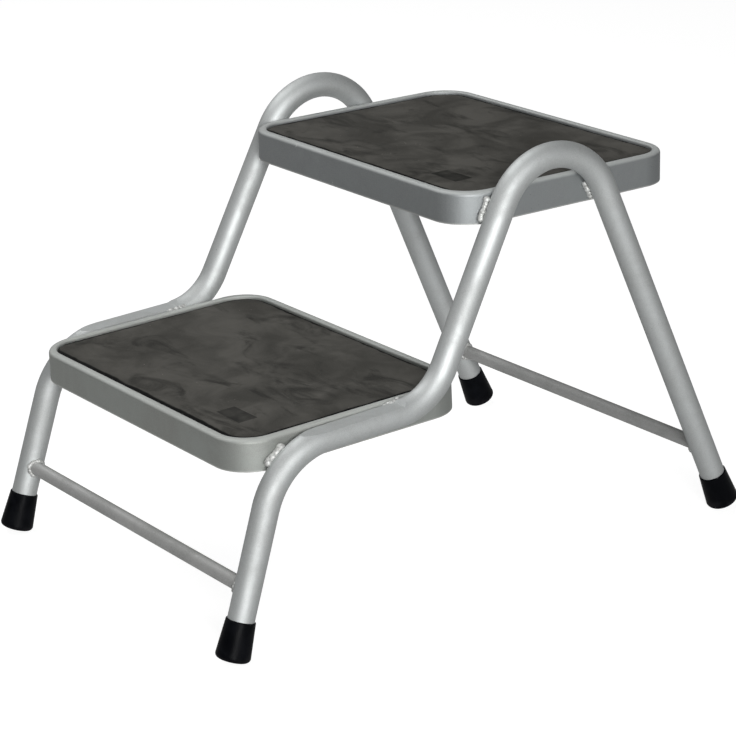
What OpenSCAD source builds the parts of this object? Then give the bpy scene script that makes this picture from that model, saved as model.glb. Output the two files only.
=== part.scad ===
// Two-tread caravan entry step: a welded steel tube frame with two pressed steel treads,
// each with a rubber mat, two thin crossbars and four rubber feet.
// Millimetres. +X is the climber's right, the climber faces +Y, +Z is up, the floor is z = 0.

/* [Frame] */
// Outer diameter of the frame tube
tube_d = 25; // [22:0.5:27]
// Wall of the frame tube
tube_wall = 1.5; // [1:0.1:2.5]
// Distance between the two frame tubes' centre lines, on the floor
foot_track = 395; // [380:1:430]
// Inward lean of each side frame, in degrees
side_lean = 1.2; // [1:0.1:1.4]
// How far the front feet stand in front of the middle
front_foot_y = 294.5; // [285:0.5:305]
// How far the rear feet stand behind the middle
rear_foot_y = 295.2; // [285:0.1:305]
// Depth pressed flat into the top of the tube beside the lower tread
flat_depth = 4; // [1:0.5:5]

/* [Bends] */
// Place of the front bend's corner, forward of the middle
front_bend_y = 235; // [225:1:245]
// From the lower tread's rim down to the front bend's corner
front_bend_drop = 13; // [8:1:18]
// Centre-line radius of the front bend
front_bend_r = 75; // [50:1:90]
// Place of the rear bend's corner, forward of the middle
rear_bend_y = 67; // [60:1:75]
// From the lower tread's rim down to the rear bend's corner
rear_bend_drop = 6; // [3:1:11]
// Centre-line radius of the rear bend
rear_bend_r = 62; // [50:1:80]
// Place of the loop's corner, behind the middle
loop_y = 86; // [80:1:92]
// From the upper tread's rim up to the loop's corner, where its two straight sides would meet
loop_rise = 112; // [102:1:122]
// Centre-line radius of the hand loop
loop_r = 66; // [55:1:75]

/* [Treads] */
// Depth of the lower tread, front to back
lower_depth = 255; // [240:1:262]
// Middle of the lower tread, forward of the middle of the step
lower_y = 141.5; // [138:0.5:145]
// Height of the lower tread's rim at its middle
lower_top = 197; // [194:0.5:199]
// Rise of the lower tread towards the back, in degrees
lower_pitch = 1.5; // [0:0.1:2]
// Depth of the upper tread, front to back
upper_depth = 263; // [250:1:270]
// Middle of the upper tread, behind the middle of the step
upper_y = 113.5; // [110:0.5:117]
// Height of the upper tread's rim
upper_top = 373; // [368:0.5:378]
// Depth of the skirt round each tread
skirt_h = 30.5; // [24:0.5:36]
// Radius of the treads' corners, seen from above
corner_r = 38; // [30:1:45]
// Radius of the rounded outer edge of the rim
edge_r = 4; // [3:0.5:5]
// Width of the rim round the mat
rim_w = 8; // [7:0.5:10]
// Depth of the recess that holds the mat
recess = 5.5; // [4:0.5:7]
// Thickness of the pressed sheet
sheet = 1.5; // [1:0.1:2]

/* [Mats] */
// Thickness of the rubber mats
mat_t = 2.5; // [2:0.1:3.5]
// Length of the sunken blank patch in a mat's front corner, across the step
patch_w = 38; // [20:1:60]
// Depth of the blank patch, front to back
patch_d = 20; // [15:1:30]
// From a mat's right edge to its patch
patch_side = 46; // [30:1:80]
// From a mat's front edge to its patch
patch_front = 29; // [20:1:60]

/* [Crossbars] */
// Outer diameter of the two crossbars
bar_d = 14; // [12:0.5:16]
// Wall of the crossbars
bar_wall = 1.2; // [1:0.1:2]
// Height of the front crossbar's centre
front_bar_z = 65.5; // [60:0.5:80]
// Height of the rear crossbar's centre
rear_bar_z = 69.5; // [62:0.5:85]

/* [Feet] */
// Length of a rubber foot
foot_h = 37; // [32:1:42]
// Rubber beside the tube at a foot's widest, near the floor
foot_wall = 3.75; // [3:0.25:5]
// Rubber beside the tube at a foot's upper lip
foot_lip = 1.25; // [1:0.05:2]
// Thickness of rubber below the tube's end
foot_floor = 6; // [4:0.5:8]
// Radius of the foot's lower edge
foot_edge = 4; // [3:0.5:5]
// Depth by which a foot's lower edge is worn flat on the floor
foot_bed = 0.6; // [0.3:0.1:1]

/* [Hidden] */
$fn = 48;

silver = "silver";
rubber = "#26282b";
mat_grey = "#44443f";

tube_r = tube_d / 2;
bar_r = bar_d / 2;
foot_r = tube_r + foot_wall;
half_track = foot_track / 2;
swell = 0.05;         // a bent length of tube comes out this much fuller in radius than a straight one
lap = 1;              // how far the straights reach into the bends
fit_gap = 0.1;        // between rubber and the steel that it grips
mat_gap = 1;          // round a mat in its recess
patch_sink = 0.3;     // depth of the blank patch
bead_r = 3.8;         // radius of a weld bead
bead_off = 8;         // from the tube's axis to the bead's axis, along the skirt
bead_out = 0.5;       // from the skirt to the bead's axis
front_bead = 16;      // length of the bead at the lower tread's front, less its round ends
front_bead_at = 0.55; // its middle, as a share of the front bend's sweep
rear_bead = 12;       // length of the bead at the lower tread's rear, less its round ends
rear_bead_at = 0.2;   // its middle, as a share of the rear bend's sweep
short_bead = 11;      // height of the bead inside the loop, less its round ends
fillet_w = 2.6;       // leg of the fillet weld round a crossbar's end
fillet_bite = 3;      // how far the fillet's cone starts inside the leg's outside
lip_bevel = 0.6;      // bevel of a foot's upper lip
sole_guess = 4;       // rough height of the soles' middles, for the legs' angles

// Heights of the side frame's corners
front_bend_z = lower_top - front_bend_drop;
rear_bend_z = lower_top - rear_bend_drop;
loop_z = upper_top + loop_rise;

// The raked legs: angle from upright of the front leg and of the rear leg
front_rake = atan((front_foot_y - front_bend_y) / (front_bend_z - sole_guess));
rear_rake = atan((rear_foot_y - loop_y) / (loop_z - sole_guess));

// Height of the middle of a foot's underside, so that its lower edge is bedded on the floor
function sole_z(rake) = (foot_r - foot_edge) * sin(rake) + foot_edge - foot_edge * cos(rake) - foot_bed;

// The side frame's corners, as [y, height], from the front foot to the rear foot
corners = [[-front_foot_y, sole_z(front_rake)],
           [-front_bend_y, front_bend_z],
           [-rear_bend_y, rear_bend_z],
           [loop_y, loop_z],
           [rear_foot_y, sole_z(rear_rake)]];
bend_r = [0, front_bend_r, rear_bend_r, loop_r, 0];

function unit(v) = v / norm(v);
function way(i) = unit(corners[i + 1] - corners[i]);
function turn(i) = acos(way(i - 1) * way(i));
// Length that the bend at corner i takes off each straight beside it
function setback(i) = bend_r[i] == 0 ? 0 : bend_r[i] * tan(turn(i) / 2);
function bend_centre(i) = corners[i] + unit(way(i) - way(i - 1)) * bend_r[i] / cos(turn(i) / 2);
function bearing(v) = atan2(v[1], v[0]);
function left_turn(i) = way(i - 1)[0] * way(i)[1] - way(i - 1)[1] * way(i)[0] > 0;
// Bearing, from the bend's centre, of the end where a counterclockwise sweep starts
function sweep_start(i) = left_turn(i) ? bearing(way(i - 1)) - 90 : bearing(way(i)) + 90;

// Half the clear width between the side frames, at height z
function inner_half(z) = half_track - z * tan(side_lean) - (tube_r + swell) / cos(side_lean);
lower_half = inner_half(lower_top + lower_depth / 2 * sin(lower_pitch) - edge_r);
upper_half = inner_half(upper_top - edge_r);

// Y of a leg's axis at height z
front_leg_y = -front_foot_y + (front_bar_z - corners[0][1]) * tan(front_rake);
rear_leg_y = rear_foot_y - (rear_bar_z - corners[4][1]) * tan(rear_rake);

// Stands what is drawn flat, with y across and height up, in the right side frame's leaning plane
module right_plane() {
    translate([half_track, 0, 0]) rotate([0, -side_lean, 0]) rotate([90, 0, 90]) children();
}

module to_left() {
    mirror([1, 0, 0]) children();
}

module both_sides() {
    children();
    to_left() children();
}

// Straight i of the side frame, drawn flat; the legs end short of the soles by trim
module straight(i, r, trim = 0) {
    first = i == 0 ? trim : setback(i) - lap;
    last = i == 3 ? trim : setback(i + 1) - lap;
    translate(corners[i] + way(i) * first) rotate([0, 0, bearing(way(i))]) rotate([0, 90, 0])
        cylinder(r = r, h = norm(corners[i + 1] - corners[i]) - first - last);
}

// Bend i of the side frame, drawn flat
module bend(i, r) {
    translate(bend_centre(i)) rotate([0, 0, sweep_start(i)]) rotate_extrude(angle = turn(i))
        translate([bend_r[i], 0]) circle(r = r + swell);
}

// The whole bent bar of radius r, drawn flat
module bent_bar(r, trim) {
    for (i = [0:3]) straight(i, r, trim);
    for (i = [1:3]) bend(i, r);
}

// What the press took off the top of the lower run, deeper by the wall for the bore
module pressed_flat(drop) {
    run = norm(corners[2] - corners[1]);
    height = tube_r - flat_depth - drop;
    // The plane starts where the front bend has dropped clear of it, and runs out at 45 degrees
    near_end = setback(1) - sqrt(2 * bend_r[1] * (flat_depth + drop)) - tube_wall;
    far_end = run - setback(2) + tube_wall;
    translate(corners[1]) rotate([0, 0, bearing(way(1))]) translate([0, 0, -tube_d])
        linear_extrude(height = 2 * tube_d)
        polygon([[near_end, height], [far_end, height], [far_end + tube_d, height + tube_d],
                 [near_end, height + tube_d]]);
}

module side_frame() {
    color(silver) right_plane() difference() {
        bent_bar(tube_r, foot_floor);
        pressed_flat(0);
        difference() {
            bent_bar(tube_r - tube_wall, foot_floor - lap);
            pressed_flat(tube_wall);
        }
    }
}

// Section of a tread's edge: x runs inward from the skirt's face, y is up from the rim
module edge_section() {
    difference() {
        union() {
            translate([0, -skirt_h]) square([sheet, skirt_h - edge_r]);
            translate([0, -edge_r]) intersection() {
                translate([edge_r, 0]) circle(r = edge_r);
                square(edge_r);
            }
            translate([edge_r, -sheet]) square([rim_w - edge_r - sheet, sheet]);
            translate([rim_w - sheet, -sheet]) intersection() {
                circle(r = sheet);
                square(sheet);
            }
            translate([rim_w - sheet, -recess - sheet]) square([sheet, recess]);
        }
        translate([edge_r, -edge_r]) circle(r = edge_r - sheet);
    }
}

module tread_side(length) {
    translate([0, length / 2, 0]) rotate([90, 0, 0]) linear_extrude(height = length) edge_section();
}

module tread_corner() {
    rotate_extrude(angle = 90) translate([corner_r, 0]) mirror([1, 0]) edge_section();
}

// Rounded rectangle with its middle at the origin
module plate(width, depth, r, height) {
    linear_extrude(height = height) union() {
        square([width - 2 * r, depth], center = true);
        square([width, depth - 2 * r], center = true);
        for (x = [-1, 1], y = [-1, 1]) translate([x * (width / 2 - r), y * (depth / 2 - r)]) circle(r = r);
    }
}

// A pressed tread with its rim at z = 0
module tread(width, depth) {
    side_x = width / 2 - corner_r;
    side_y = depth / 2 - corner_r;
    color(silver) union() {
        for (s = [0, 180]) rotate([0, 0, s]) {
            translate([-width / 2, 0, 0]) tread_side(2 * side_y);
            rotate([0, 0, 90]) translate([-depth / 2, 0, 0]) tread_side(2 * side_x);
            translate([side_x, side_y, 0]) tread_corner();
            translate([-side_x, side_y, 0]) rotate([0, 0, 90]) tread_corner();
        }
        translate([0, 0, -recess - sheet])
            plate(width - 2 * rim_w + sheet, depth - 2 * rim_w + sheet, corner_r - rim_w + sheet / 2, sheet);
    }
}

// The space inside a tread's outer face, for trimming what is welded against it
module tread_block(width, depth) {
    translate([0, 0, -skirt_h]) plate(width, depth, corner_r, skirt_h);
}

module mat(width, depth) {
    inset = rim_w + mat_gap;
    color(mat_grey) translate([0, 0, -recess]) difference() {
        plate(width - 2 * inset, depth - 2 * inset, corner_r - inset, mat_t);
        translate([width / 2 - inset - patch_side - patch_w, -depth / 2 + inset + patch_front,
                   mat_t - patch_sink])
            cube([patch_w, patch_d, mat_t]);
    }
}

module at_lower() {
    translate([0, -lower_y, lower_top]) rotate([lower_pitch, 0, 0]) children();
}

module at_upper() {
    translate([0, upper_y, upper_top]) children();
}

module lower_tread() { at_lower() tread(2 * lower_half, lower_depth); }
module upper_tread() { at_upper() tread(2 * upper_half, upper_depth); }
module lower_mat() { at_lower() mat(2 * lower_half, lower_depth); }
module upper_mat() { at_upper() mat(2 * upper_half, upper_depth); }

// A crossbar whose axis is at y, z, with its ends coped to the legs that straight number leg makes
module crossbar(leg, y, z) {
    color(silver) difference() {
        translate([-half_track, y, z]) rotate([0, 90, 0]) cylinder(r = bar_r, h = foot_track);
        translate([-half_track, y, z]) rotate([0, 90, 0]) cylinder(r = bar_r - bar_wall, h = foot_track);
        both_sides() right_plane() straight(leg, tube_r);
    }
}

module front_crossbar() { crossbar(0, front_leg_y, front_bar_z); }
module rear_crossbar() { crossbar(3, rear_leg_y, rear_bar_z); }

// Fillet weld round both ends of a crossbar
module crossbar_weld(leg, y, z) {
    reach = half_track - z * tan(side_lean) - tube_r + fillet_bite;
    color(silver) difference() {
        both_sides() translate([reach, y, z]) rotate([0, -90, 0])
            cylinder(r1 = bar_r + fillet_w + fillet_bite / 2, r2 = bar_r, h = fillet_w + fillet_bite);
        translate([-half_track, y, z]) rotate([0, 90, 0]) cylinder(r = bar_r, h = foot_track);
        both_sides() right_plane() straight(leg, tube_r);
    }
}

module weld_front_crossbar() { crossbar_weld(0, front_leg_y, front_bar_z); }
module weld_rear_crossbar() { crossbar_weld(3, rear_leg_y, rear_bar_z); }

// A round-ended bead along +X, from the origin
module bead(length) {
    rotate([0, 90, 0]) rotate_extrude() intersection() {
        union() {
            square([bead_r, length]);
            circle(r = bead_r);
            translate([0, length]) circle(r = bead_r);
        }
        translate([0, -bead_r]) square([bead_r, length + 2 * bead_r]);
    }
}

// A weld bead beside straight i, between two heights; across is measured from the tube's axis
module straight_bead(i, from_z, to_z, across) {
    along = (from_z - across * way(i)[0] - corners[i][1]) / way(i)[1];
    right_plane() translate(corners[i]) rotate([0, 0, bearing(way(i))])
        translate([along, across, bead_out - tube_r]) bead((to_z - from_z) / way(i)[1]);
}

// A weld bead beside bend i, with its middle at an angle of the bend's own sweep
module bend_bead(i, angle, length, across) {
    right_plane() translate(bend_centre(i)) rotate([0, 0, sweep_start(i) + angle])
        translate([bend_r[i] + across, -length / 2, bead_out - tube_r])
            rotate([0, 0, 90]) bead(length);
}

// The two beads that join the lower tread to the right side frame
module weld_lower() {
    color(silver) difference() {
        union() {
            bend_bead(1, turn(1) * front_bead_at, front_bead, bead_off);
            bend_bead(2, turn(2) * rear_bead_at, rear_bead, -bead_off);
        }
        right_plane() for (i = [1, 2]) bend(i, tube_r);
        at_lower() tread_block(2 * lower_half, lower_depth);
    }
}

// The two beads that join the upper tread to the right side frame: a tall one in front, and a short
// one inside the loop
module weld_upper() {
    low_end = upper_top - skirt_h + bead_r;
    high_end = upper_top - edge_r - bead_r;
    color(silver) for (i = [2, 3]) difference() {
        if (i == 2) straight_bead(i, low_end, high_end, bead_off);
        else straight_bead(i, low_end + short_bead, low_end, -bead_off);
        right_plane() {
            straight(i, tube_r);
            bend(3, tube_r);
        }
        at_upper() tread_block(2 * upper_half, upper_depth);
    }
}

module weld_lower_left() { to_left() weld_lower(); }
module weld_lower_right() { weld_lower(); }
module weld_upper_left() { to_left() weld_upper(); }
module weld_upper_right() { weld_upper(); }

module foot_profile() {
    top_r = tube_r + foot_lip;
    polygon([[0, 0], [foot_r - foot_edge, 0], [foot_r, foot_edge], [top_r, foot_h - lip_bevel],
             [top_r - lip_bevel, foot_h], [0, foot_h]]);
    translate([foot_r - foot_edge, foot_edge]) circle(r = foot_edge);
}

// A rubber foot on the end of straight i
module foot(i) {
    sole = i == 0 ? corners[0] : corners[4];
    up = i == 0 ? way(0) : -way(3);
    color(rubber) difference() {
        right_plane() translate(sole) rotate([0, 0, bearing(up)]) rotate([0, 90, 0])
            rotate_extrude() difference() {
                foot_profile();
                translate([0, foot_floor]) square([tube_r + fit_gap, foot_h]);
            }
        translate([0, 0, -foot_h / 2]) cube([2 * foot_track, 4 * rear_foot_y, foot_h], center = true);
    }
}

module foot_front_left() { to_left() foot(0); }
module foot_front_right() { foot(0); }
module foot_rear_left() { to_left() foot(3); }
module foot_rear_right() { foot(3); }

to_left() side_frame();  // side_frame_left
side_frame();  // side_frame_right
lower_tread();
upper_tread();
lower_mat();
upper_mat();
front_crossbar();
rear_crossbar();
foot_front_left();
foot_front_right();
foot_rear_left();
foot_rear_right();
weld_lower_left();
weld_lower_right();
weld_upper_left();
weld_upper_right();
weld_front_crossbar();
weld_rear_crossbar();
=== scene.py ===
import math
import bpy
from mathutils import Matrix, Vector, noise


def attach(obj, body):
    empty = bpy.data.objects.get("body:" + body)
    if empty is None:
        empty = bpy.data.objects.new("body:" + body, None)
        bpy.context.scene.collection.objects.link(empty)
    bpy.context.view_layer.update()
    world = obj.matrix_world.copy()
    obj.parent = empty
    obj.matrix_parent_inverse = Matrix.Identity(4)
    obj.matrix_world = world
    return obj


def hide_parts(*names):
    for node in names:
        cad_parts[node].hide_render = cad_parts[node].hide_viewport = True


# Caravan entry step: bent tube side frames, pressed treads, rubber mats and feet.
# Metres. +X is the climber's right, +Y the way the climber faces, +Z up.

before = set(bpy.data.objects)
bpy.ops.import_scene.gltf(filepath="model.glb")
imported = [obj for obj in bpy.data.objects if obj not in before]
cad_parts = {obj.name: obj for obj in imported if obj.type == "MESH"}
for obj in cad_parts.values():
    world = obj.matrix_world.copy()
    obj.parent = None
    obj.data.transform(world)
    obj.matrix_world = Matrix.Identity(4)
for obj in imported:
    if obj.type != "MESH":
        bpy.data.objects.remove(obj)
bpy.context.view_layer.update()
print("frame loaded")

photoView = {
    "place": (2.0277, -1.4393, 1.0197),   # where the photograph was taken from
    "aim": (-0.0869, 0.0635, 0.1214),
    "roll": -1.5,                         # degrees
    "lens": 130.75,                       # mm on a 36 mm sensor
}


def makeCamera(view):
    place, aim = Vector(view["place"]), Vector(view["aim"])
    back = (place - aim).normalized()
    side = Vector((0, 0, 1)).cross(back).normalized()
    up = back.cross(side)
    turn = math.radians(view["roll"])
    right = side * math.cos(turn) + up * math.sin(turn)
    top = up * math.cos(turn) - side * math.sin(turn)
    data = bpy.data.cameras.new("photoCamera")
    data.lens = view["lens"]
    data.sensor_width = 36
    data.clip_end = 50
    camera = bpy.data.objects.new("photoCamera", data)
    bpy.context.scene.collection.objects.link(camera)
    m = Matrix((right, top, back)).transposed().to_4x4()
    m.translation = place
    camera.matrix_world = m
    bpy.context.scene.camera = camera


makeCamera(photoView)
print("camera placed")


def addNode(tree, kind, **values):
    node = tree.nodes.new(kind)
    for key, value in values.items():
        setattr(node, key, value)
    return node


def mathNode(tree, operation, a, b=None, clamp=False):
    node = addNode(tree, "ShaderNodeMath", operation=operation, use_clamp=clamp)
    for i, value in enumerate((a, b)):
        if value is None:
            continue
        if isinstance(value, (int, float)):
            node.inputs[i].default_value = value
        else:
            tree.links.new(value, node.inputs[i])
    return node.outputs[0]


def setInputs(node, numbers):
    for name, number in numbers.items():
        node.inputs[name].default_value = number


def rangeNode(tree, value, low, high, toLow=0.0, toHigh=1.0):
    node = addNode(tree, "ShaderNodeMapRange", interpolation_type="SMOOTHSTEP")
    tree.links.new(value, node.inputs["Value"])
    setInputs(node, {"From Min": low, "From Max": high, "To Min": toLow, "To Max": toHigh})
    return node.outputs["Result"]


def mixColour(tree, factor, a, b):
    node = addNode(tree, "ShaderNodeMix", data_type="RGBA")
    if isinstance(factor, (int, float)):
        node.inputs["Factor"].default_value = factor
    else:
        tree.links.new(factor, node.inputs["Factor"])
    colourIns = [s for s in node.inputs if s.type == "RGBA"]
    for socket, value in zip(colourIns, (a, b)):
        if isinstance(value, tuple):
            socket.default_value = (*value, 1.0)
        else:
            tree.links.new(value, socket)
    return [s for s in node.outputs if s.type == "RGBA"][0]


def noiseNode(tree, vector, scale, detail=3.0, roughness=0.5, distortion=0.0):
    node = addNode(tree, "ShaderNodeTexNoise")
    tree.links.new(vector, node.inputs["Vector"])
    setInputs(node, {"Scale": scale, "Detail": detail, "Roughness": roughness, "Distortion": distortion})
    return node.outputs["Fac"]


def newGroup(name, ins, outs):
    group = bpy.data.node_groups.new(name, "ShaderNodeTree")
    for label, kind, value in ins:
        socket = group.interface.new_socket(name=label, in_out="INPUT", socket_type=kind)
        if value is not None:
            socket.default_value = value
    for label, kind in outs:
        group.interface.new_socket(name=label, in_out="OUTPUT", socket_type=kind)
    return group, group.nodes.new("NodeGroupInput"), group.nodes.new("NodeGroupOutput")


def groupNode(tree, group, vector, **values):
    node = addNode(tree, "ShaderNodeGroup", node_tree=group)
    tree.links.new(vector, node.inputs["Vector"])
    setInputs(node, values)
    return node


# Broad soft patches and a fine grain, for anything that has been used outdoors
weatherLook = {
    "detail": 5.0, "patchRoughness": 0.62, "patchDistortion": 0.6, "patchRange": (0.34, 0.68),
    "speckScale": 0.16, "speckRange": (0.10, 0.04),   # the scale is a share of the grain's
}


def makeWeathering(values):
    group, inputs, outputs = newGroup(
        "weathering",
        [("Vector", "NodeSocketVector", None), ("PatchScale", "NodeSocketFloat", 12.0),
         ("GrainScale", "NodeSocketFloat", 900.0)],
        [("Patches", "NodeSocketFloat"), ("Grain", "NodeSocketFloat"), ("Specks", "NodeSocketFloat")])
    patches = addNode(group, "ShaderNodeTexNoise")
    grain = addNode(group, "ShaderNodeTexNoise")
    specks = addNode(group, "ShaderNodeTexVoronoi")
    for node, name in ((patches, "PatchScale"), (grain, "GrainScale")):
        group.links.new(inputs.outputs["Vector"], node.inputs["Vector"])
        group.links.new(inputs.outputs[name], node.inputs["Scale"])
        node.inputs["Detail"].default_value = values["detail"]
    setInputs(patches, {"Roughness": values["patchRoughness"], "Distortion": values["patchDistortion"]})
    group.links.new(inputs.outputs["Vector"], specks.inputs["Vector"])
    speckScale = mathNode(group, "MULTIPLY", inputs.outputs["GrainScale"], values["speckScale"])
    group.links.new(speckScale, specks.inputs["Scale"])
    patchMask = rangeNode(group, patches.outputs["Fac"], *values["patchRange"])
    speckMask = rangeNode(group, specks.outputs["Distance"], *values["speckRange"])
    group.links.new(patchMask, outputs.inputs["Patches"])
    group.links.new(grain.outputs["Fac"], outputs.inputs["Grain"])
    group.links.new(speckMask, outputs.inputs["Specks"])
    return group


weathering = makeWeathering(weatherLook)


# Bands between two heights that follow a tread's slope: a painted highlight along the skirt's bottom edge,
# a painted highlight along the rim, and pale scuffs near both edges broken up by noise
edgeBands = {
    # where each band fades out and where it is full, in metres from the skirt's bottom or from the rim
    "lineFromBottom": (0.0018, 0.0004), "rimFromTop": (0.0034, 0.0008),
    "scuffsFromBottom": (0.009, 0.001), "scuffsFromTop": (0.006, 0.002),
    # noise: scale, detail, roughness
    "spots": (150.0, 5.0, 0.7), "spotRange": (0.64, 0.70),
    "places": (17.0, 2.0, 0.5), "placeRange": (0.56, 0.66),
}


def makeEdgeWearAndHighlights(values):
    group, inputs, outputs = newGroup(
        "edgeWearAndHighlights",
        [("Vector", "NodeSocketVector", None), ("Top", "NodeSocketFloat", 0.2),
         ("Depth", "NodeSocketFloat", 0.03), ("Slope", "NodeSocketFloat", 0.0),
         ("MiddleY", "NodeSocketFloat", 0.0)],
        [("Line", "NodeSocketFloat"), ("Rim", "NodeSocketFloat"), ("Scuffs", "NodeSocketFloat")])
    where = inputs.outputs["Vector"]
    split = addNode(group, "ShaderNodeSeparateXYZ")
    group.links.new(where, split.inputs["Vector"])
    pastMiddle = mathNode(group, "SUBTRACT", split.outputs["Y"], inputs.outputs["MiddleY"])
    rise = mathNode(group, "MULTIPLY", inputs.outputs["Slope"], pastMiddle)
    rimHeight = mathNode(group, "ADD", inputs.outputs["Top"], rise)
    fromTop = mathNode(group, "SUBTRACT", rimHeight, split.outputs["Z"])
    fromBottom = mathNode(group, "SUBTRACT", inputs.outputs["Depth"], fromTop)
    group.links.new(rangeNode(group, fromBottom, *values["lineFromBottom"]), outputs.inputs["Line"])
    group.links.new(rangeNode(group, fromTop, *values["rimFromTop"]), outputs.inputs["Rim"])
    nearEdge = mathNode(group, "MAXIMUM", rangeNode(group, fromBottom, *values["scuffsFromBottom"]),
                        rangeNode(group, fromTop, *values["scuffsFromTop"]))
    spots = rangeNode(group, noiseNode(group, where, *values["spots"]), *values["spotRange"])
    places = rangeNode(group, noiseNode(group, where, *values["places"]), *values["placeRange"])
    scuffs = mathNode(group, "MULTIPLY", mathNode(group, "MULTIPLY", spots, places), nearEdge)
    group.links.new(scuffs, outputs.inputs["Scuffs"])
    return group


edgeWearAndHighlights = makeEdgeWearAndHighlights(edgeBands)


def newMaterial(name):
    material = bpy.data.materials.new(name)
    material.use_nodes = True
    tree = material.node_tree
    shader = tree.nodes["Principled BSDF"]
    where = addNode(tree, "ShaderNodeTexCoord").outputs["Object"]
    return material, tree, shader, where


def addBump(tree, shader, height, strength, distance):
    bump = addNode(tree, "ShaderNodeBump")
    setInputs(bump, {"Strength": strength, "Distance": distance})
    tree.links.new(height, bump.inputs["Height"])
    tree.links.new(bump.outputs["Normal"], shader.inputs["Normal"])


# Silver paint: fine metallic grain, faint orange peel, dull patches, a few dark pinholes
def makePaint(name, values):
    material, tree, shader, where = newMaterial(name)
    wear = groupNode(tree, weathering, where,
                     PatchScale=values["patchScale"], GrainScale=values["grainScale"])
    patches, grain = wear.outputs["Patches"], wear.outputs["Grain"]
    tone = mixColour(tree, patches, values["colour"], values["dullColour"])
    grainy = mixColour(tree, rangeNode(tree, grain, *values["grainRange"]), tone, values["grainColour"])
    finish = mixColour(tree, values["grainAmount"], tone, grainy)
    pinAreas = rangeNode(tree, noiseNode(tree, where, values["pinAreas"]), *values["pinRange"])
    pins = mathNode(tree, "MULTIPLY", wear.outputs["Specks"], pinAreas, clamp=True)
    finish = mixColour(tree, pins, finish, values["pinColour"])
    smoothest, dullest = values["roughness"], values["roughness"] + values["roughSpread"]
    rough = rangeNode(tree, patches, 0.0, 1.0, smoothest, dullest)
    if "edge" in values:
        edgeMasks = groupNode(tree, edgeWearAndHighlights, where, **values["edge"])
        # A painted highlight along the skirt's bottom edge, laid in the same pale colour as the real scuffs
        line = mathNode(tree, "MULTIPLY", edgeMasks.outputs["Line"], values["bottomEdgeHighlight"])
        scuffs = mathNode(tree, "MULTIPLY", edgeMasks.outputs["Scuffs"], values["scuffWear"])
        finish = mixColour(tree, mathNode(tree, "MAXIMUM", line, scuffs), finish, values["lightMarkColour"])
        # A painted highlight along the rim, in a pale colour; the rim is also made rougher
        rim = mathNode(tree, "MULTIPLY", edgeMasks.outputs["Rim"], values["rimHighlight"])
        finish = mixColour(tree, rim, finish, values["rimHighlightColour"])
        chalk = mathNode(tree, "MULTIPLY", edgeMasks.outputs["Rim"], values["rimChalk"])
        rough = mathNode(tree, "ADD", rough, chalk, clamp=True)
    tree.links.new(finish, shader.inputs["Base Color"])
    tree.links.new(rough, shader.inputs["Roughness"])
    shader.inputs["Metallic"].default_value = values["metallic"]
    shader.inputs["Specular IOR Level"].default_value = values["specular"]
    peel = noiseNode(tree, where, values["peelScale"], detail=values["peelDetail"])
    height = mathNode(tree, "ADD", peel, mathNode(tree, "MULTIPLY", grain, values["grainHeight"]))
    addBump(tree, shader, height, values["bump"], values["bumpDepth"])
    return material


framePaint = {
    "colour": (0.565, 0.587, 0.585), "dullColour": (0.485, 0.50, 0.495),
    "grainColour": (0.74, 0.755, 0.75), "grainAmount": 0.35, "grainRange": (0.35, 0.65),
    "pinColour": (0.12, 0.115, 0.11), "pinAreas": 26.0, "pinRange": (0.60, 0.66),
    "metallic": 0.80, "specular": 0.30, "roughness": 0.62, "roughSpread": 0.08,
    "patchScale": 20.0, "grainScale": 1400.0, "peelScale": 320.0, "peelDetail": 2.0,
    "grainHeight": 0.25, "bump": 0.25, "bumpDepth": 0.0004,
}
lowerTreadPaint = dict(
    framePaint, colour=(0.395, 0.415, 0.395), dullColour=(0.345, 0.35, 0.33),
    grainColour=(0.52, 0.54, 0.52), metallic=0.94, patchScale=9.0,
    # pale scuffs, and a painted highlight along the skirt's bottom edge in the same colour:
    lightMarkColour=(0.80, 0.80, 0.77), bottomEdgeHighlight=0.5, scuffWear=0.8,
    # painted highlight along the rim tops:
    rimHighlightColour=(0.80, 0.82, 0.80), rimHighlight=0.50, rimChalk=0.18,
    edge={"Top": 0.197, "Depth": 0.0305, "Slope": 0.0262, "MiddleY": -0.1415})
# The upper tread: the lower tread's paint with painted shade, its colours set darker
shadedUpperTreadPaint = dict(
    lowerTreadPaint, colour=(0.345, 0.365, 0.37), dullColour=(0.30, 0.314, 0.317),
    grainColour=(0.46, 0.47, 0.473),
    edge={"Top": 0.373, "Depth": 0.0305, "Slope": 0.0, "MiddleY": 0.1135})
barPaint = dict(
    framePaint, colour=(0.50, 0.50, 0.49), dullColour=(0.40, 0.40, 0.39), roughness=0.70)
weldPaint = dict(
    framePaint, colour=(0.66, 0.67, 0.65), dullColour=(0.36, 0.36, 0.345), metallic=0.45,
    roughness=0.50, patchScale=160.0, bump=0.4)

silverFrame = makePaint("silverFrame", framePaint)
silverLowerTread = makePaint("silverLowerTread", lowerTreadPaint)
silverUpperTreadShaded = makePaint("silverUpperTreadShaded", shadedUpperTreadPaint)
silverBar = makePaint("silverBar", barPaint)
silverWeld = makePaint("silverWeld", weldPaint)


matCornerRadius = 0.029
matSizes = {
    # metres, with the slope in degrees
    "lowerMat": {"halfX": 0.1718, "halfY": 0.1185, "middleY": -0.1415, "top": 0.1940, "slope": 1.5},
    "upperMat": {"halfX": 0.1682, "halfY": 0.1225, "middleY": 0.1135, "top": 0.3700, "slope": 0.0},
}
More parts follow.
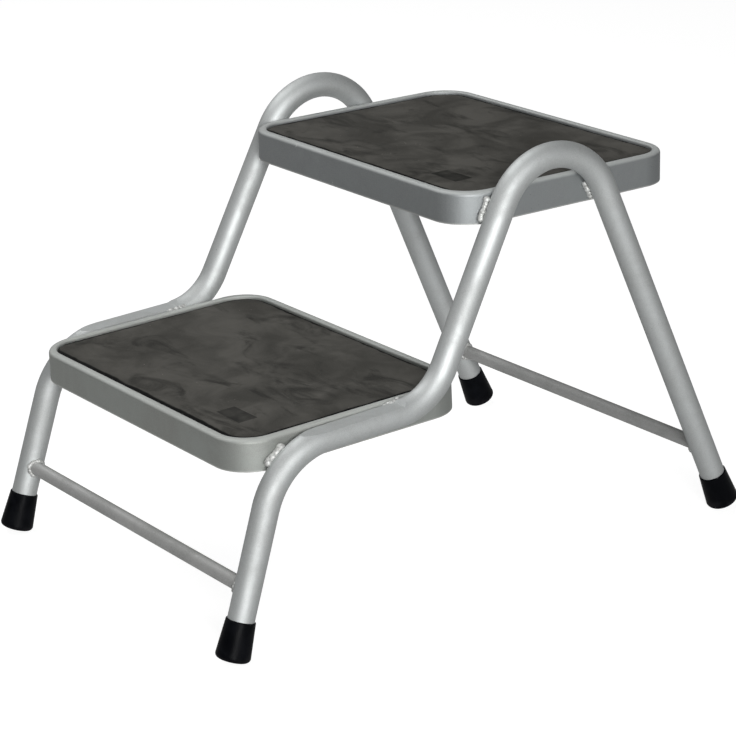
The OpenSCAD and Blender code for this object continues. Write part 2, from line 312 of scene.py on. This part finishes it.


# Black rubber mat: dust trodden in over dark smears, a near-black painted shade of the rims along its
# edges, a blank patch in one corner
def makeMatRubber(name, values):
    material, tree, shader, where = newMaterial(name)
    wear = groupNode(tree, weathering, where,
                     PatchScale=values["patchScale"], GrainScale=values["grainScale"])
    patches, grain = wear.outputs["Patches"], wear.outputs["Grain"]
    smears = addNode(tree, "ShaderNodeMapping")
    smears.inputs["Scale"].default_value = (1.0, values["smearStretch"], 1.0)
    smears.inputs["Rotation"].default_value = (0.0, 0.0, math.radians(values["smearTurn"]))
    tree.links.new(where, smears.inputs["Vector"])
    smearNoise = noiseNode(tree, smears.outputs["Vector"], *values["smears"])
    smearMask = rangeNode(tree, smearNoise, *values["smearRange"])
    smear = mathNode(tree, "MULTIPLY", smearMask, values["smearAmount"])
    base = mixColour(tree, patches, values["colour"], values["dustColour"])
    base = mixColour(tree, smear, base, values["darkColour"])
    grit = mathNode(tree, "MULTIPLY", rangeNode(tree, grain, *values["gritRange"]), values["gritAmount"])
    base = mixColour(tree, grit, base, values["gritColour"])
    crumbAreas = rangeNode(tree, noiseNode(tree, where, values["crumbAreas"]), *values["crumbRange"])
    crumbs = mathNode(tree, "MULTIPLY", wear.outputs["Specks"], crumbAreas, clamp=True)
    base = mixColour(tree, crumbs, base, values["crumbColour"])
    split = addNode(tree, "ShaderNodeSeparateXYZ")
    tree.links.new(where, split.inputs["Vector"])
    inside = None
    for axis, (low, high) in (("X", values["patchX"]), ("Y", values["patchY"])):
        for edge, sign in ((low, 1), (high, -1)):
            blur = values["patchBlur"] * sign
            step = rangeNode(tree, split.outputs[axis], edge - blur, edge + blur)
            inside = step if inside is None else mathNode(tree, "MULTIPLY", inside, step)
    rubbed = rangeNode(tree, noiseNode(tree, where, values["patchWear"]), *values["patchWearRange"])
    base = mixColour(tree, mathNode(tree, "MULTIPLY", inside, rubbed), base, values["patchColour"])
    # The painted shade of the rims: a band along each edge with a ragged inner line
    waves = mathNode(tree, "SUBTRACT", noiseNode(tree, where, *values["rimShadeWaves"]), 0.5)
    ragged = mathNode(tree, "MULTIPLY", waves, values["rimShadeRagged"])
    rimShade = None
    for side, (cornerX, cornerY), width in values["rimShadeBands"]:
        # Distance out from a corner's centre, which is also the distance towards its two straight edges
        offsetX = mathNode(tree, "SUBTRACT", split.outputs["X"], cornerX)
        offsetY = mathNode(tree, "SUBTRACT", cornerY, split.outputs["Y"])
        pastX = mathNode(tree, "MAXIMUM", mathNode(tree, "MULTIPLY", offsetX, side), 0.0)
        pastY = mathNode(tree, "MAXIMUM", mathNode(tree, "MULTIPLY", offsetY, side), 0.0)
        squares = mathNode(tree, "ADD", mathNode(tree, "MULTIPLY", pastX, pastX),
                           mathNode(tree, "MULTIPLY", pastY, pastY))
        toEdge = mathNode(tree, "SUBTRACT", values["cornerRadius"], mathNode(tree, "SQRT", squares))
        band = rangeNode(tree, mathNode(tree, "ADD", toEdge, ragged), width, width * values["rimShadeFull"])
        rimShade = band if rimShade is None else mathNode(tree, "MAXIMUM", rimShade, band)
    # Near-black painted shade of the rims over the mat's colour, darkest next to the edge
    tree.links.new(mixColour(tree, rimShade, base, values["rimShadeColour"]), shader.inputs["Base Color"])
    shader.inputs["Specular IOR Level"].default_value = values["specular"]
    tree.links.new(rangeNode(tree, patches, 0.0, 1.0, *values["roughness"]), shader.inputs["Roughness"])
    height = mathNode(tree, "SUBTRACT", mathNode(tree, "MULTIPLY", grain, values["grainHeight"]),
                      mathNode(tree, "MULTIPLY", inside, values["patchSink"]))
    addBump(tree, shader, height, values["bump"], values["bumpDepth"])
    return material


matLook = {
    "colour": (0.058, 0.056, 0.050), "dustColour": (0.110, 0.106, 0.096),
    "patchScale": 19.0, "grainScale": 1100.0,
    "darkColour": (0.025, 0.0245, 0.022), "smearAmount": 0.85, "smearRange": (0.50, 0.72),
    "smears": (15.0, 7.0, 0.62, 0.9),   # noise: scale, detail, roughness, distortion
    "smearTurn": -32, "smearStretch": 2.2,
    "gritColour": (0.130, 0.125, 0.114), "gritAmount": 0.30, "gritRange": (0.50, 0.72),
    "crumbColour": (0.40, 0.37, 0.33), "crumbAreas": 31.0, "crumbRange": (0.62, 0.67),
    "patchColour": (0.018, 0.018, 0.016), "patchBlur": 0.0004, "patchSink": 0.8,
    "patchWear": 60.0, "patchWearRange": (0.30, 0.60, 0.55, 0.95),
    # the painted shade of the rims along the mat's edges:
    "rimShadeColour": (0.002, 0.002, 0.002), "cornerRadius": matCornerRadius,
    "rimShadeWaves": (45.0, 3.0), "rimShadeRagged": 0.006, "rimShadeFull": 0.72,
    "roughness": (0.62, 0.80), "specular": 0.12, "grainHeight": 0.35, "bump": 0.5, "bumpDepth": 0.0005,
}
rimShadeWidths = {"wide": 0.0085, "narrow": 0.0030}


# The painted shade of the rims is wide along a mat's front and right edges, narrow along its rear and left
# edges
def matRimShadeBands(size, widths, r):
    frontY, rearY = size["middleY"] - size["halfY"], size["middleY"] + size["halfY"]
    return [(1, (size["halfX"] - r, frontY + r), widths["wide"]),
            (-1, (r - size["halfX"], rearY - r), widths["narrow"])]


lowerMatRubber = makeMatRubber("lowerMatRubber", dict(
    matLook, patchColour=(0.028, 0.028, 0.0255), patchX=(0.0878, 0.1258), patchY=(-0.231, -0.211),
    rimShadeBands=matRimShadeBands(matSizes["lowerMat"], rimShadeWidths, matCornerRadius)))
upperMatRubber = makeMatRubber("upperMatRubber", dict(
    matLook, patchX=(0.0842, 0.1222), patchY=(0.020, 0.040),
    rimShadeBands=matRimShadeBands(matSizes["upperMat"], rimShadeWidths, matCornerRadius)))


# Black moulded rubber of the feet, scuffed near the floor
def makeFootRubber(name, values):
    material, tree, shader, where = newMaterial(name)
    wear = groupNode(tree, weathering, where,
                     PatchScale=values["patchScale"], GrainScale=values["grainScale"])
    patches = wear.outputs["Patches"]
    split = addNode(tree, "ShaderNodeSeparateXYZ")
    tree.links.new(where, split.inputs["Vector"])
    low = rangeNode(tree, split.outputs["Z"], *values["scuffHeights"])
    scuffs = mathNode(tree, "MULTIPLY", low, patches)
    base = mixColour(tree, patches, values["colour"], values["greyColour"])
    tree.links.new(mixColour(tree, scuffs, base, values["lightMarkColour"]), shader.inputs["Base Color"])
    shader.inputs["Specular IOR Level"].default_value = values["specular"]
    tree.links.new(rangeNode(tree, patches, 0.0, 1.0, *values["roughness"]), shader.inputs["Roughness"])
    addBump(tree, shader, wear.outputs["Grain"], values["bump"], values["bumpDepth"])
    return material


footLook = {
    "colour": (0.0022, 0.0025, 0.0034), "greyColour": (0.0045, 0.005, 0.0065),
    "lightMarkColour": (0.016, 0.016, 0.018), "scuffHeights": (0.012, 0.002),
    "patchScale": 60.0, "grainScale": 1600.0, "roughness": (0.30, 0.45), "specular": 0.05,
    "bump": 0.3, "bumpDepth": 0.0004,
}
footRubber = makeFootRubber("footRubber", footLook)
print("materials made")


finishes = {
    "side_frame_left": silverFrame, "side_frame_right": silverFrame,
    "lower_tread": silverLowerTread, "upper_tread": silverUpperTreadShaded,
    "front_crossbar": silverBar, "rear_crossbar": silverBar,
    "foot_front_left": footRubber, "foot_front_right": footRubber,
    "foot_rear_left": footRubber, "foot_rear_right": footRubber,
}
for nodeName, material in finishes.items():
    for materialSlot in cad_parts[nodeName].material_slots:
        materialSlot.material = material
print("frame painted")


def addPiece(name, mesh, replaced=()):
    piece = bpy.data.objects.new(name, mesh)
    bpy.context.scene.collection.objects.link(piece)
    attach(piece, "root")
    if replaced:
        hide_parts(*replaced)
    return piece


# Rubber mats: cut a little unevenly, with a soft upper edge and a top that isn't quite flat
matShape = {
    "thickness": 0.0024, "cornerRadius": matCornerRadius, "softEdge": 0.0009, "lowerBevel": 0.0003,
    "unevenCut": 0.0006, "cutWaves": 22, "cutSeed": 50,
    "unevenTop": 0.0004, "topWaves": 14, "topSeed": 3.0,
    "cornerSteps": 12, "sideSteps": 26,
    "edgeTurns": (0.5, 1.05, math.pi / 2),                       # radians round the soft edge
    "ringShares": (0.04, 0.12, 0.25, 0.4, 0.55, 0.7, 0.85),      # shares of the way to the middle
}


def matOutline(halfX, halfY, shape):
    r = shape["cornerRadius"]
    outline = []
    for quarter in range(4):
        turn = Matrix.Rotation(quarter * math.pi / 2, 2)
        reachX, reachY = (halfX, halfY) if quarter % 2 == 0 else (halfY, halfX)
        for i in range(shape["sideSteps"]):
            y = (reachY - r) * (2 * i / shape["sideSteps"] - 1)
            outline.append((turn @ Vector((reachX, y)), turn @ Vector((1, 0))))
        for i in range(shape["cornerSteps"]):
            a = math.pi / 2 * i / shape["cornerSteps"]
            out = Vector((math.cos(a), math.sin(a)))
            outline.append((turn @ (Vector((reachX - r, reachY - r)) + out * r), turn @ out))
    return outline


def makeMat(name, shape, size, material, replaced):
    halfX = size["halfX"]
    outline = matOutline(halfX, size["halfY"], shape)
    soft, thick, bevel = shape["softEdge"], shape["thickness"], shape["lowerBevel"]
    # Each ring: distance in from the cut edge, share of the way to the middle, drop from the top
    rings = [(bevel, 0, thick), (0, 0, thick - bevel), (0, 0, soft)]
    rings += [(soft * (1 - math.cos(a)), 0, soft * (1 - math.sin(a))) for a in shape["edgeTurns"]]
    rings += [(soft, share, 0) for share in shape["ringShares"]]
    place = Matrix.Translation((0, size["middleY"], size["top"]))
    tilt = place @ Matrix.Rotation(math.radians(size["slope"]), 4, "X")
    cutWaves, topWaves = shape["cutWaves"], shape["topWaves"]
    points = []
    for inward, share, drop in rings:
        for at, out in outline:
            wave = noise.noise(Vector((at.x * cutWaves, at.y * cutWaves, halfX * shape["cutSeed"])))
            cut = shape["unevenCut"] * wave
            flat = (at - out * (inward + abs(cut))) * (1 - share)
            lift = 0
            if drop < soft:
                swell = noise.noise(Vector((flat.x * topWaves, flat.y * topWaves, shape["topSeed"])))
                lift = shape["unevenTop"] * swell
            points.append(tilt @ Vector((flat.x, flat.y, lift - drop)))
    count = len(outline)
    faces = []
    for r in range(len(rings) - 1):
        for i in range(count):
            here, following = r * count, (i + 1) % count
            faces.append((here + i, here + following, here + count + following, here + count + i))
    last = (len(rings) - 1) * count
    faces += [tuple(range(count - 1, -1, -1)), tuple(range(last, last + count))]
    mesh = bpy.data.meshes.new(name)
    mesh.from_pydata(points, [], faces)
    mesh.materials.append(material)
    for face in mesh.polygons:
        face.use_smooth = True
    return addPiece(name, mesh, [replaced])


makeMat("lowerMat", matShape, matSizes["lowerMat"], lowerMatRubber, "lower_mat")
makeMat("upperMat", matShape, matSizes["upperMat"], upperMatRubber, "upper_mat")
print("mats laid")


# Weld beads: drops of metal laid one over the next along a path
def makeRippleTree():
    tree = bpy.data.node_groups.new("weldRipples", "GeometryNodeTree")
    face = tree.interface
    face.new_socket(name="Geometry", in_out="INPUT", socket_type="NodeSocketGeometry")
    sockets = {}
    for label, kind, value in (("DropRadius", "NodeSocketFloat", 0.0036),
                               ("Spacing", "NodeSocketFloat", 0.0017),
                               ("Unevenness", "NodeSocketFloat", 0.14),
                               ("Shove", "NodeSocketFloat", 0.12), ("Seed", "NodeSocketInt", 3),
                               ("Material", "NodeSocketMaterial", None)):
        socket = face.new_socket(name=label, in_out="INPUT", socket_type=kind)
        if value is not None:
            socket.default_value = value
        sockets[label] = socket.identifier
    face.new_socket(name="Geometry", in_out="OUTPUT", socket_type="NodeSocketGeometry")
    start, end = tree.nodes.new("NodeGroupInput"), tree.nodes.new("NodeGroupOutput")
    link = tree.links.new
    path = tree.nodes.new("GeometryNodeMeshToCurve")
    points = addNode(tree, "GeometryNodeCurveToPoints", mode="LENGTH")
    drop = tree.nodes.new("GeometryNodeMeshIcoSphere")
    drop.inputs["Subdivisions"].default_value = 3
    scatter = tree.nodes.new("GeometryNodeInstanceOnPoints")
    size = addNode(tree, "FunctionNodeRandomValue", data_type="FLOAT")
    smallest = mathNode(tree, "SUBTRACT", 1.0, start.outputs["Unevenness"])
    shove = addNode(tree, "FunctionNodeRandomValue", data_type="FLOAT_VECTOR")
    shift = addNode(tree, "ShaderNodeVectorMath", operation="SCALE")
    move = tree.nodes.new("GeometryNodeSetPosition")
    real = tree.nodes.new("GeometryNodeRealizeInstances")
    smooth = tree.nodes.new("GeometryNodeSetShadeSmooth")
    paint = tree.nodes.new("GeometryNodeSetMaterial")
    link(start.outputs["Geometry"], path.inputs["Mesh"])
    link(path.outputs["Curve"], points.inputs["Curve"])
    link(start.outputs["Spacing"], points.inputs["Length"])
    link(start.outputs["DropRadius"], drop.inputs["Radius"])
    floats = [s for s in size.inputs if s.type == "VALUE"]
    link(smallest, floats[0])
    floats[1].default_value = 1.0
    link(start.outputs["Seed"], size.inputs["Seed"])
    vectors = [s for s in shove.inputs if s.type == "VECTOR"]
    vectors[0].default_value = (-1, -1, -1)
    vectors[1].default_value = (1, 1, 1)
    link(start.outputs["Seed"], shove.inputs["Seed"])
    link(shove.outputs[0], shift.inputs[0])
    farthest = mathNode(tree, "MULTIPLY", start.outputs["DropRadius"], start.outputs["Shove"])
    link(farthest, shift.inputs["Scale"])
    link(points.outputs["Points"], move.inputs["Geometry"])
    link(shift.outputs[0], move.inputs["Offset"])
    link(move.outputs["Geometry"], scatter.inputs["Points"])
    link(drop.outputs["Mesh"], scatter.inputs["Instance"])
    link(size.outputs[1], scatter.inputs["Scale"])
    link(scatter.outputs["Instances"], real.inputs["Geometry"])
    link(real.outputs["Geometry"], smooth.inputs["Geometry"])
    link(smooth.outputs["Geometry"], paint.inputs["Geometry"])
    link(start.outputs["Material"], paint.inputs["Material"])
    link(paint.outputs["Geometry"], end.inputs["Geometry"])
    return tree, sockets


rippleTree, rippleSockets = makeRippleTree()


def makeBeads(name, paths, values, replaced):
    points, edges = [], []
    for path in paths:
        first = len(points)
        points += path
        edges += [(first + i, first + i + 1) for i in range(len(path) - 1)]
    mesh = bpy.data.meshes.new(name)
    mesh.from_pydata(points, edges, [])
    builder = bpy.data.objects.new(name + "Paths", mesh)
    bpy.context.scene.collection.objects.link(builder)
    ripples = builder.modifiers.new("ripples", "NODES")
    ripples.node_group = rippleTree
    for label in ("DropRadius", "Spacing", "Unevenness", "Shove", "Seed"):
        ripples[rippleSockets[label]] = values[label]
    ripples[rippleSockets["Material"]] = silverWeld
    skin = builder.modifiers.new("skin", "REMESH")   # one closed surface round all the drops
    skin.mode = "VOXEL"
    skin.voxel_size = values["SkinGrid"]
    skin.use_smooth_shade = True
    ready = builder.evaluated_get(bpy.context.evaluated_depsgraph_get())
    result = bpy.data.meshes.new_from_object(ready)
    result.name = name
    result.materials.clear()                         # the skin has no finish of its own
    result.materials.append(silverWeld)
    bpy.data.objects.remove(builder)
    return addPiece(name, result, replaced)


def straightPath(start, end, steps=10):
    return [tuple(Vector(start).lerp(Vector(end), i / steps)) for i in range(steps + 1)]


# Ends of each bead on the climber's right; the left has their mirror images
treadBeads = {
    "lower": [((0.1838, -0.2400, 0.1730), (0.1838, -0.2252, 0.1838)),
              ((0.1828, -0.1110, 0.1948), (0.1828, -0.0950, 0.1962))],
    "upper": [((0.1792, 0.0040, 0.3490), (0.1790, 0.0122, 0.3660)),
              ((0.1795, 0.1275, 0.3600), (0.1795, 0.1368, 0.3460))],
    "DropRadius": {"lower": 0.0043, "upper": 0.0035}, "Spacing": 0.0021, "Unevenness": 0.34,
    "Shove": 0.12,          # how far a drop is pushed off the path, as a share of its radius
    "SkinGrid": 0.0004,
    "middleSeed": 5,        # the left side takes the number below it and the right side the one above
}
for tread in ("lower", "upper"):
    for sideName, sign in (("left", -1), ("right", 1)):
        paths = [straightPath(*[(sign * x, y, z) for x, y, z in ends]) for ends in treadBeads[tread]]
        makeBeads(tread + "Beads" + sideName.capitalize(), paths,
                  dict(treadBeads, DropRadius=treadBeads["DropRadius"][tread],
                       Seed=treadBeads["middleSeed"] + sign),
                  ["weld_" + tread + "_" + sideName])


# The fillet where a crossbar meets a leg runs round a saddle
barBeads = {
    "front": {"y": -0.2740, "z": 0.0655, "rake": 18.3},
    "rear": {"y": 0.2670, "z": 0.0695, "rake": -23.5},      # degrees from upright
    "barRadius": 0.007, "tubeRadius": 0.0125, "legX": 0.19613, "leanPerMetre": 0.0209,
    "offBar": 0.0006, "offTube": 0.0004,                    # from the two surfaces to the path
    "DropRadius": 0.0026, "Spacing": 0.0019, "Unevenness": 0.48, "Shove": 0.12, "SkinGrid": 0.0003,
    "Seed": 11,
}


def saddlePath(end, sign, values, steps=36):
    rake = math.radians(end["rake"])
    along = Vector((0, math.sin(rake), math.cos(rake)))
    across = Vector((0, math.cos(rake), -math.sin(rake)))
    path = []
    for i in range(steps + 1):
        turn = 2 * math.pi * i / steps
        ring = values["barRadius"] + values["offBar"]
        p = along * (ring * math.cos(turn)) + across * (ring * math.sin(turn))
        reach = math.sqrt(values["tubeRadius"] ** 2 - (ring * math.sin(turn)) ** 2)
        x = values["legX"] - values["leanPerMetre"] * p.z - reach - values["offTube"]
        path.append((sign * x, end["y"] + p.y, end["z"] + p.z))
    return path


for end in ("front", "rear"):
    makeBeads(end + "BarBeads", [saddlePath(barBeads[end], sign, barBeads) for sign in (-1, 1)],
              barBeads, ["weld_" + end + "_crossbar"])
print("welds laid")


studio = {
    "floorColour": (0.32, 0.32, 0.32), "floorRoughness": 0.9, "floorGlow": 0.90,
    "floorRadius": 9, "floorSides": 64,
    "ambient": 0.04,                          # light from all round
    "floorShare": 0.25, "roomShare": 0.06,    # brightness of the white floor and room in reflections
    "lamps": {
        # name: place, aim, size, spread in degrees, watts
        "keyLamp": ((2.58, -1.25, 1.05), (0.0, 0.0, 0.38), 1.5, 50.0, 9.2),
        "topLamp": ((-0.8, -0.6, 2.8), (0.0, 0.0, 0.2), 1.8, 180.0, 27.0),
        "leftLamp": ((-2.3, -0.2, 2.3), (0.0, 0.0, 0.2), 1.4, 180.0, 15.0),
    },
}


# How much of the white background a ray meets: all of it for the camera, a share in reflections
def whiteSeen(tree, share):
    rays = addNode(tree, "ShaderNodeLightPath")
    mirrored = mathNode(tree, "MAXIMUM", rays.outputs["Is Glossy Ray"], rays.outputs["Is Transmission Ray"])
    return mathNode(tree, "MAXIMUM", rays.outputs["Is Camera Ray"],
                    mathNode(tree, "MULTIPLY", mirrored, share))


def makeStudio(values):
    floorMesh = bpy.data.meshes.new("studioFloor")
    radius, sides = values["floorRadius"], values["floorSides"]
    ring = [(radius * math.cos(math.tau * i / sides), radius * math.sin(math.tau * i / sides), 0.0)
            for i in range(sides)]
    floorMesh.from_pydata(ring, [], [list(range(sides))])
    floor = bpy.data.objects.new("studioFloor", floorMesh)
    bpy.context.scene.collection.objects.link(floor)
    material, tree, shader, _ = newMaterial("floorWhite")
    shader.inputs["Base Color"].default_value = (*values["floorColour"], 1.0)
    shader.inputs["Roughness"].default_value = values["floorRoughness"]
    shader.inputs["Specular IOR Level"].default_value = 0.0
    shader.inputs["Emission Color"].default_value = (1, 1, 1, 1)
    tree.links.new(mathNode(tree, "MULTIPLY", whiteSeen(tree, values["floorShare"]), values["floorGlow"]),
                   shader.inputs["Emission Strength"])
    floorMesh.materials.append(material)
    world = bpy.data.worlds.new("studioWorld")
    world.use_nodes = True
    bpy.context.scene.world = world
    tree = world.node_tree
    sky = tree.nodes["Background"]
    sky.inputs["Color"].default_value = (1, 1, 1, 1)
    strength = mathNode(tree, "MAXIMUM", whiteSeen(tree, values["roomShare"]), values["ambient"])
    tree.links.new(strength, sky.inputs["Strength"])
    for name, (place, aim, size, spread, watts) in values["lamps"].items():
        data = bpy.data.lights.new(name, "AREA")
        data.shape = "DISK"
        data.size = size
        data.spread = math.radians(spread)
        data.energy = watts
        lamp = bpy.data.objects.new(name, data)
        lamp.location = place
        lamp.rotation_euler = (Vector(aim) - Vector(place)).to_track_quat("-Z", "Y").to_euler()
        bpy.context.scene.collection.objects.link(lamp)


makeStudio(studio)
bpy.context.scene.view_settings.view_transform = "Standard"
print("studio lit")
